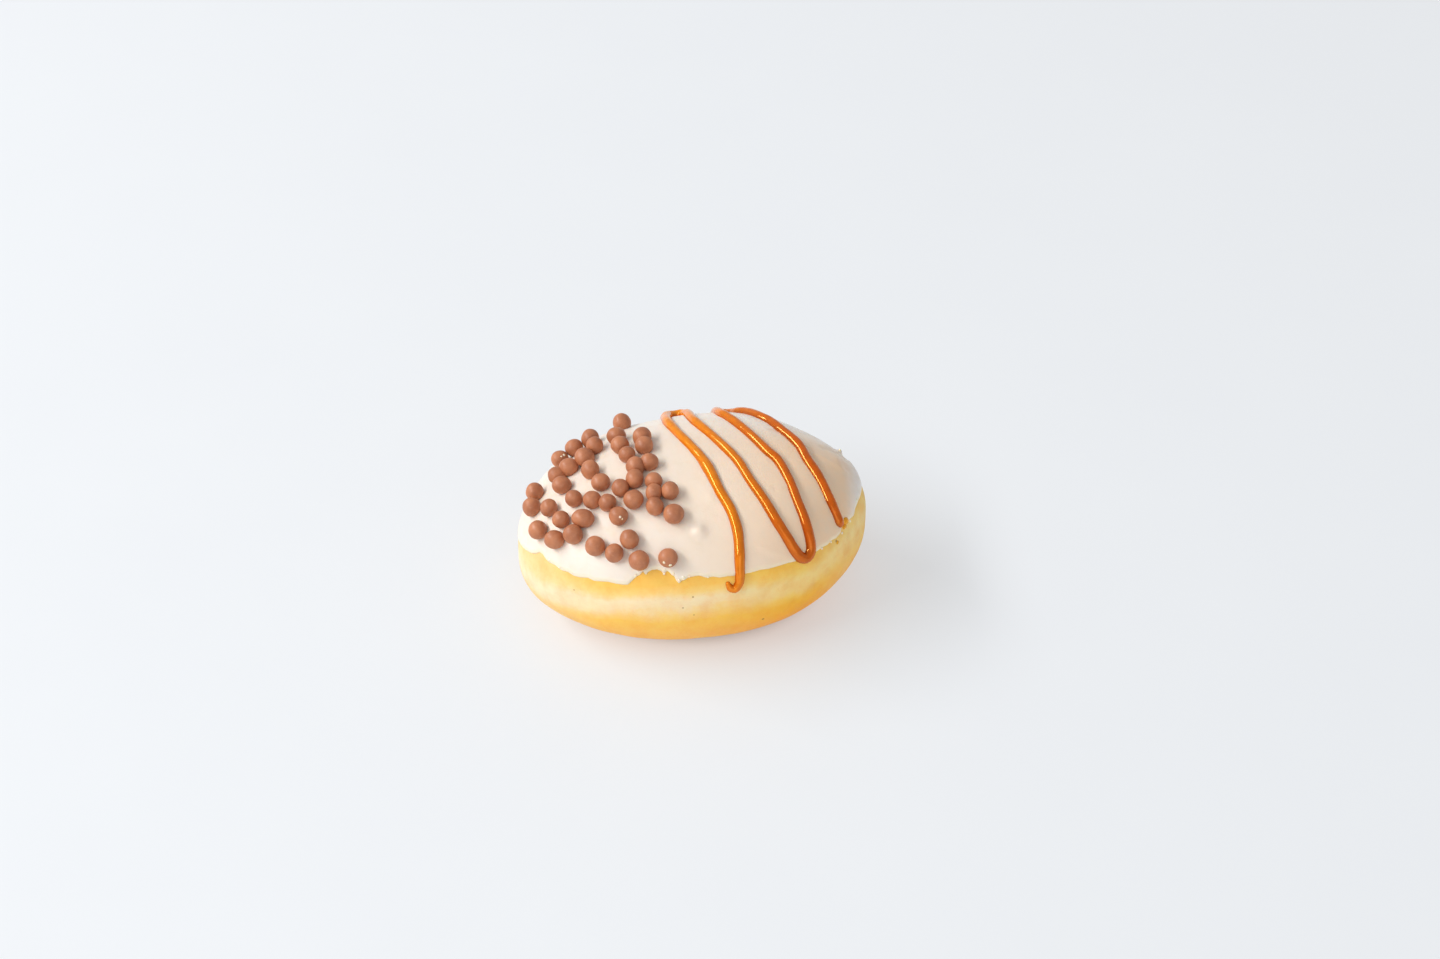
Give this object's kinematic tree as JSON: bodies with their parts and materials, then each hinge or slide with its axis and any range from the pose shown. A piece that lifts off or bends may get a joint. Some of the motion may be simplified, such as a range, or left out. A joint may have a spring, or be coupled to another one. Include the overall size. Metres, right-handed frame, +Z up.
{
  "type": "filled doughnut",
  "caption": "Oval filled doughnut with no hole: a fried dough bun under white icing, with chocolate pearls on one half and a zigzag of caramel on the other.",
  "frame": {"origin": "middle of the bounding box at the height of the flat that the doughnut rests on", "axes": "+X along the long side, towards the end with the caramel; +Y to the back; +Z up"},
  "size_m": [0.0908, 0.0707, 0.0451],
  "materials": {
    "fried_dough": "soft matt fried crust, golden with a pale band round the waist",
    "sugar_icing": "satin off-white sugar icing, with satin chocolate pearls and glossy caramel on it"
  },
  "bodies": {
    "root": {"dough": "fried_dough", "icing": "sugar_icing"}
  },
  "joints": []
}
